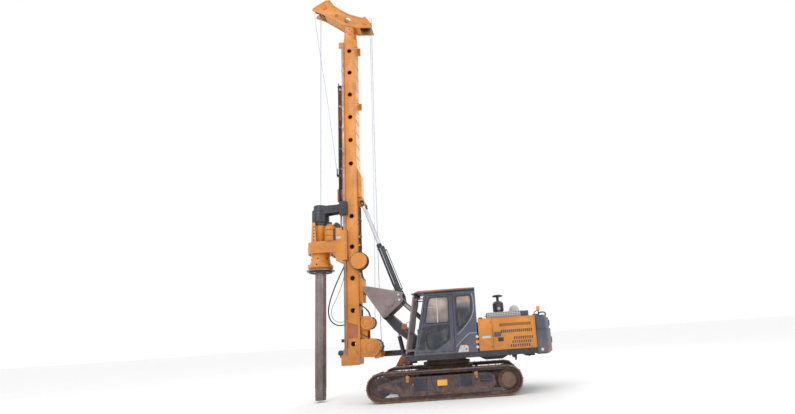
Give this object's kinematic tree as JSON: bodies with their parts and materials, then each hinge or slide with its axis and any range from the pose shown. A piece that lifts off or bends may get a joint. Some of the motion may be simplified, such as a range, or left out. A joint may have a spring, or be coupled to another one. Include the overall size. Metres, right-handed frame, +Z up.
{
  "type": "rotary piling rig",
  "caption": "Tracked rotary piling rig with a tilting mast, a telescoping kelly bar, a rotary drive on a crowd carriage, winches, a cab and an engine housing that slews.",
  "frame": {"origin": "centre of the machine's overall box at ground level, under the tracks", "axes": "+Z up, the mast and kelly bar at -Y, the counterweight at +Y, the cab and the machine's left side at +X"},
  "size_m": [2.5, 6.987, 12.87],
  "materials": {
    "orange_paint": "worn satin",
    "slate_paint": "dusty satin",
    "dark_iron": "matte",
    "black_paint": "satin",
    "dusty_paint": "dry dust",
    "muddy_steel": "mud and rust",
    "bare_steel": "worn",
    "bright_rod": "polished",
    "pale_paint": "satin",
    "window": "clear"
  },
  "bodies": {
    "undercarriage": {"car_body": "muddy_steel", "track_left": "muddy_steel", "track_right": "muddy_steel", "track_frame_left": "muddy_steel", "track_frame_right": "muddy_steel", "sprocket_left": "muddy_steel", "sprocket_right": "muddy_steel"},
    "upper": {"upper_frame": "dark_iron", "counterweight": "slate_paint", "engine_housing": "slate_paint", "engine": "dark_iron", "air_cleaner": "black_paint", "exhaust_cover": "pale_paint", "side_tank": "slate_paint", "tool_box": "dark_iron", "cab_shell": "slate_paint", "roof_guard": "slate_paint", "front_guard": "dusty_paint", "windscreen": "window", "driver_seat": "black_paint"},
    "door": {"cab_door": "slate_paint", "door_glass": "window"},
    "panel_front": {"engine_door_front": "orange_paint"},
    "panel_rear": {"engine_door_rear": "orange_paint"},
    "panel_right": {"engine_door_right": "slate_paint"},
    "hood": {"engine_hood": "dusty_paint"},
    "boom": {"lower_boom": "black_paint"},
    "link": {"upper_link": "black_paint"},
    "triangle": {"mast_triangle": "dusty_paint"},
    "lift_tube": {"lift_barrel": "black_paint"},
    "lift_piston": {"lift_rod": "bright_rod"},
    "block_left": {"tilt_block_left": "dark_iron"},
    "block_right": {"tilt_block_right": "dark_iron"},
    "tube_left": {"tilt_barrel_left": "black_paint"},
    "tube_right": {"tilt_barrel_right": "black_paint"},
    "piston_left": {"tilt_rod_left": "bright_rod"},
    "piston_right": {"tilt_rod_right": "bright_rod"},
    "knuckle": {"mast_knuckle": "orange_paint"},
    "leader": {"mast": "orange_paint", "mast_head": "orange_paint", "crowd_cylinder": "orange_paint", "winch_frame": "orange_paint", "service_winch_case": "orange_paint", "drive_hose": "black_paint"},
    "main_drum": {"main_winch_drum": "dark_iron"},
    "aux_drum": {"aux_winch_drum": "dark_iron"},
    "service_drum": {"service_winch_drum": "dark_iron"},
    "front_sheave": {"main_sheave_front": "dark_iron"},
    "rear_sheave": {"main_sheave_rear": "dark_iron"},
    "carriage": {"rotary_carriage": "orange_paint", "reducer_left": "orange_paint", "reducer_right": "orange_paint", "crowd_rod": "bright_rod"},
    "drive": {"kelly_drive": "orange_paint"},
    "guide": {"kelly_guide": "black_paint"},
    "kelly": {"kelly_bar": "bare_steel"},
    "kelly_core": {"inner_kelly": "bare_steel"}
  },
  "joints": [
    {"name": "slew", "type": "hinge", "parent": "undercarriage", "child": "upper", "pos_m": [0, 0.5135, 1], "axis": [0, 0, 1], "continuous": true},
    {"name": "cab_door", "type": "hinge", "parent": "upper", "child": "door", "pos_m": [1.21, 0.8135, 1.2], "axis": [0, 0, 1], "range_deg": [0, 100]},
    {"name": "engine_door_front", "type": "hinge", "parent": "upper", "child": "panel_front", "pos_m": [1.1983, 1.4805, 1.5], "axis": [0, 0, -1], "range_deg": [0, 110]},
    {"name": "engine_door_rear", "type": "hinge", "parent": "upper", "child": "panel_rear", "pos_m": [1.1983, 2.9555, 1.5], "axis": [0, 0, 1], "range_deg": [0, 110]},
    {"name": "engine_door_right", "type": "hinge", "parent": "upper", "child": "panel_right", "pos_m": [-1.1983, 2.9555, 1.5], "axis": [0, 0, -1], "range_deg": [0, 110]},
    {"name": "engine_hood", "type": "hinge", "parent": "upper", "child": "hood", "pos_m": [0.72, 2.8335, 1.9823], "axis": [-1, 0, 0], "range_deg": [0, 50]},
    {"name": "boom_luff", "type": "hinge", "parent": "upper", "child": "boom", "pos_m": [0, -0.2365, 1.42], "axis": [-1, 0, 0], "range_deg": [-12, 25]},
    {"name": "triangle_level", "type": "hinge", "parent": "boom", "child": "triangle", "pos_m": [0, -1.1535, 2.31], "axis": [-1, 0, 0], "range_deg": [-25, 12]},
    {"name": "link_swing", "type": "hinge", "parent": "upper", "child": "link", "pos_m": [0, 0.2005, 1.79], "axis": [-1, 0, 0], "range_deg": [-12, 25]},
    {"name": "lift_tube_swing", "type": "hinge", "parent": "upper", "child": "lift_tube", "pos_m": [0, -0.6865, 1.1], "axis": [-1, 0, 0], "range_deg": [-8.73, 17.85]},
    {"name": "lift_stroke", "type": "slide", "parent": "lift_tube", "child": "lift_piston", "axis": [0, -0.209, 0.9779], "range_m": [-0.1017, 0.2108]},
    {"name": "mast_tilt", "type": "hinge", "parent": "triangle", "child": "knuckle", "pos_m": [0, -1.6425, 3.037], "axis": [-1, 0, 0], "range_deg": [-5, 90]},
    {"name": "mast_side_tilt", "type": "hinge", "parent": "knuckle", "child": "leader", "pos_m": [0, -1.6425, 3.037], "axis": [0, 1, 0], "range_deg": [-3, 3]},
    {"name": "tilt_block_swing_left", "type": "hinge", "parent": "triangle", "child": "block_left", "pos_m": [0.2, -0.7365, 2.83], "axis": [-1, 0, 0], "range_deg": [-6.1, 99.6]},
    {"name": "tilt_tube_lean_left", "type": "hinge", "parent": "block_left", "child": "tube_left", "pos_m": [0.2, -0.7365, 2.83], "axis": [0, 0.9407, 0.3392], "range_deg": [-2.72, 2.72]},
    {"name": "tilt_stroke_left", "type": "slide", "parent": "tube_left", "child": "piston_left", "axis": [0, -0.3392, 0.9407], "range_m": [-1.2631, 0.0711]},
    {"name": "tilt_block_swing_right", "type": "hinge", "parent": "triangle", "child": "block_right", "pos_m": [-0.2, -0.7365, 2.83], "axis": [-1, 0, 0], "range_deg": [-6.1, 99.6]},
    {"name": "tilt_tube_lean_right", "type": "hinge", "parent": "block_right", "child": "tube_right", "pos_m": [-0.2, -0.7365, 2.83], "axis": [0, 0.9407, 0.3392], "range_deg": [-2.72, 2.72]},
    {"name": "tilt_stroke_right", "type": "slide", "parent": "tube_right", "child": "piston_right", "axis": [0, -0.3392, 0.9407], "range_m": [-1.2631, 0.0711]},
    {"name": "main_winch_turn", "type": "hinge", "parent": "leader", "child": "main_drum", "pos_m": [0, -1.5505, 1.401], "axis": [1, 0, 0], "continuous": true},
    {"name": "aux_winch_turn", "type": "hinge", "parent": "leader", "child": "aux_drum", "pos_m": [0, -1.6745, 2.099], "axis": [1, 0, 0], "continuous": true},
    {"name": "service_winch_turn", "type": "hinge", "parent": "leader", "child": "service_drum", "pos_m": [0, -1.8375, 3.876], "axis": [1, 0, 0], "continuous": true},
    {"name": "front_sheave_turn", "type": "hinge", "parent": "leader", "child": "front_sheave", "pos_m": [0, -2.9035, 12.6], "axis": [1, 0, 0], "continuous": true},
    {"name": "rear_sheave_turn", "type": "hinge", "parent": "leader", "child": "rear_sheave", "pos_m": [0, -1.5665, 11.9], "axis": [1, 0, 0], "continuous": true},
    {"name": "crowd", "type": "slide", "parent": "leader", "child": "carriage", "axis": [0, 0, 1], "range_m": [-2.5, 0]},
    {"name": "drive_turn", "type": "hinge", "parent": "carriage", "child": "drive", "pos_m": [0, -3.0935, 3.68], "axis": [0, 0, 1], "continuous": true},
    {"name": "kelly_lift", "type": "slide", "parent": "carriage", "child": "guide", "axis": [0, 0, 1], "range_m": [0, 3.3]},
    {"name": "kelly_turn", "type": "hinge", "parent": "guide", "child": "kelly", "pos_m": [0, -3.0935, 5.72], "axis": [0, 0, 1], "continuous": true},
    {"name": "kelly_telescope", "type": "slide", "parent": "kelly", "child": "kelly_core", "axis": [0, 0, -1], "range_m": [0, 4]}
  ],
  "couplings": [
    {"joint": "triangle_level", "follows": "boom_luff", "ratio": -1},
    {"joint": "link_swing", "follows": "boom_luff", "ratio": 1},
    {"joint": "lift_tube_swing", "follows": "boom_luff", "ratio": 0.7022},
    {"joint": "lift_stroke", "follows": "boom_luff", "m_per_rad": 0.4808},
    {"joint": "tilt_block_swing_left", "follows": "mast_tilt", "ratio": 1.1},
    {"joint": "tilt_tube_lean_left", "follows": "mast_side_tilt", "ratio": 0.87285},
    {"joint": "tilt_stroke_left", "follows": "mast_tilt", "m_per_rad": -0.80347},
    {"joint": "tilt_block_swing_right", "follows": "mast_tilt", "ratio": 1.1},
    {"joint": "tilt_tube_lean_right", "follows": "mast_side_tilt", "ratio": 0.87285},
    {"joint": "tilt_stroke_right", "follows": "mast_tilt", "m_per_rad": -0.80347},
    {"joint": "kelly_turn", "follows": "drive_turn", "ratio": 1}
  ]
}
